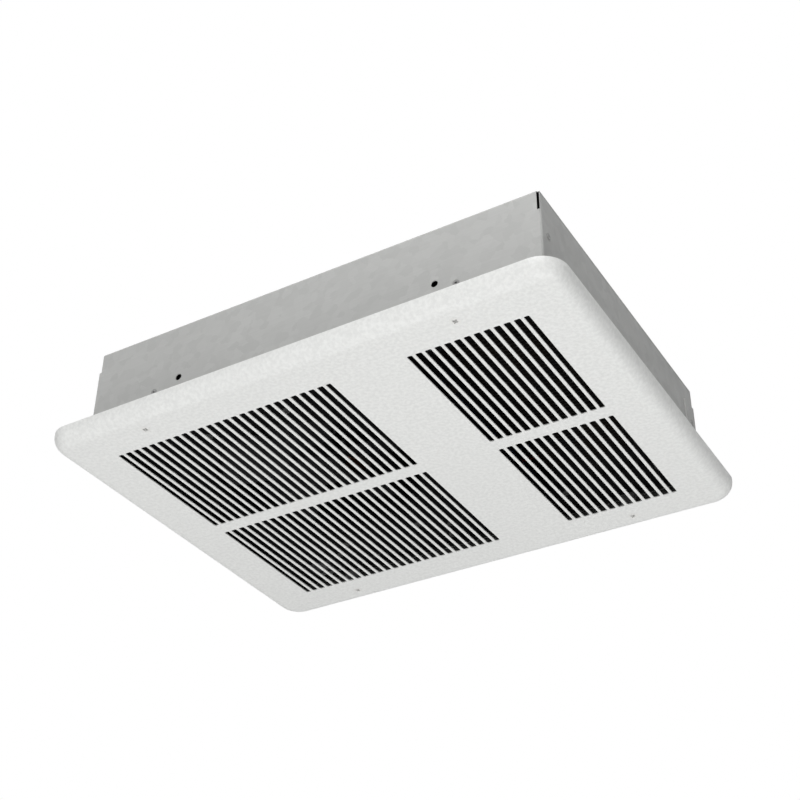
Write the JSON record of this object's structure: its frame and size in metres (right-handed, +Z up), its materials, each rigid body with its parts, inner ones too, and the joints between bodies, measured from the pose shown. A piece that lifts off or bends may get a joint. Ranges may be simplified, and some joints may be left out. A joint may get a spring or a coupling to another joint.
{
  "type": "ceiling mounted fan heater",
  "caption": "Recessed ceiling fan heater: slotted white steel grille panel under a galvanised box with fan, motor, finned element, limit and wiring bay",
  "frame": {"origin": "centre of the front panel's room face, at the bottom centre of the bounding box", "axes": "+X along the panel's length towards the small outlet grille, -Y towards the near long side, +Z up into the ceiling"},
  "size_m": [0.5412, 0.424, 0.1201],
  "materials": {
    "powder_white": "white powder coat, satin, fine texture",
    "screw_white": "white painted screw heads",
    "galvanised": "galvanised sheet, soft spangle, satin",
    "zinc_plated": "zinc plated, satin",
    "deck_black": "black powder coat, satin",
    "seal_foam": "dark closed-cell foam",
    "grommet_rubber": "black rubber, matte",
    "bushing_nylon": "black nylon",
    "lamination_steel": "varnished laminated steel",
    "copper_wire": "enamelled copper",
    "bearing_bronze": "oil-filled bronze",
    "bobbin_nylon": "dark nylon",
    "fan_black": "glass-filled black moulding",
    "shaft_steel": "ground steel",
    "sheath_steel": "heat-darkened steel sheath",
    "fin_steel": "plated steel, heat-tinted",
    "ceramic_cream": "unglazed ceramic",
    "terminal_phenolic": "moulded phenolic",
    "brass_plain": "plain brass",
    "ground_green": "green dyed zinc",
    "switch_black": "black moulding",
    "limit_phenolic": "dark phenolic",
    "button_red": "red moulding",
    "lead_black": "black lead insulation",
    "lead_red": "red high temperature insulation",
    "lead_blue": "blue lead insulation"
  },
  "bodies": {
    "chassis": {"front_panel": "powder_white", "grille_screws": "screw_white", "clip_nuts": "zinc_plated", "grille_brackets": "zinc_plated", "bracket_rivets": "zinc_plated", "back_box": "galvanised", "ceiling_flanges": "galvanised", "corner_rivets": "zinc_plated", "deck_rails": "galvanised", "fan_deck": "deck_black", "deck_screws": "zinc_plated", "chassis_screws": "zinc_plated", "chamber_divider": "deck_black", "divider_seal": "seal_foam", "fan_shroud": "deck_black", "motor_mount": "deck_black", "motor_grommets": "grommet_rubber", "motor_spacers": "zinc_plated", "motor_bolts": "zinc_plated", "motor_nuts": "zinc_plated", "front_bearing_bracket": "zinc_plated", "rear_bearing_bracket": "zinc_plated", "sleeve_bearings": "bearing_bronze", "stator_stack": "lamination_steel", "shading_rings": "copper_wire", "coil_bobbin": "bobbin_nylon", "coil_winding": "copper_wire", "element_tube": "sheath_steel", "element_fins": "fin_steel", "element_plate_near": "galvanised", "element_plate_far": "galvanised", "element_studs": "shaft_steel", "element_insulators": "ceramic_cream", "element_nuts": "zinc_plated", "air_deflector": "galvanised", "wiring_partition": "galvanised", "wiring_cover": "deck_black", "lead_bushings": "bushing_nylon", "terminal_block": "terminal_phenolic", "terminal_screws": "brass_plain", "ground_screw": "ground_green", "switch_body": "switch_black", "switch_tabs": "brass_plain", "limit_body": "limit_phenolic", "limit_tabs": "brass_plain", "fan_delay_switch": "limit_phenolic", "motor_leads": "lead_black", "element_leads": "lead_red", "switch_leads": "lead_black", "limit_leads": "lead_blue", "delay_leads": "lead_blue"},
    "rotor": {"fan_wheel": "fan_black", "hub_insert": "brass_plain", "hub_set_screw": "shaft_steel", "motor_shaft": "shaft_steel", "rotor_core": "lamination_steel"},
    "button": {"reset_button": "button_red"},
    "rocker": {"switch_rocker": "switch_black"}
  },
  "joints": [
    {"name": "fan_spin", "type": "hinge", "parent": "chassis", "child": "rotor", "pos_m": [-0.09584, 0, 0.0465], "axis": [0, 0, 1], "continuous": true},
    {"name": "reset_press", "type": "slide", "parent": "chassis", "child": "button", "axis": [0, 0, 1], "range_m": [0, 0.002], "stiffness_N_per_m": 400, "springref_m": -0.002},
    {"name": "rocker_tilt", "type": "hinge", "parent": "chassis", "child": "rocker", "pos_m": [-0.1874, 0.15505, 0.028], "axis": [0, 1, 0], "range_deg": [-18, 0]}
  ]
}
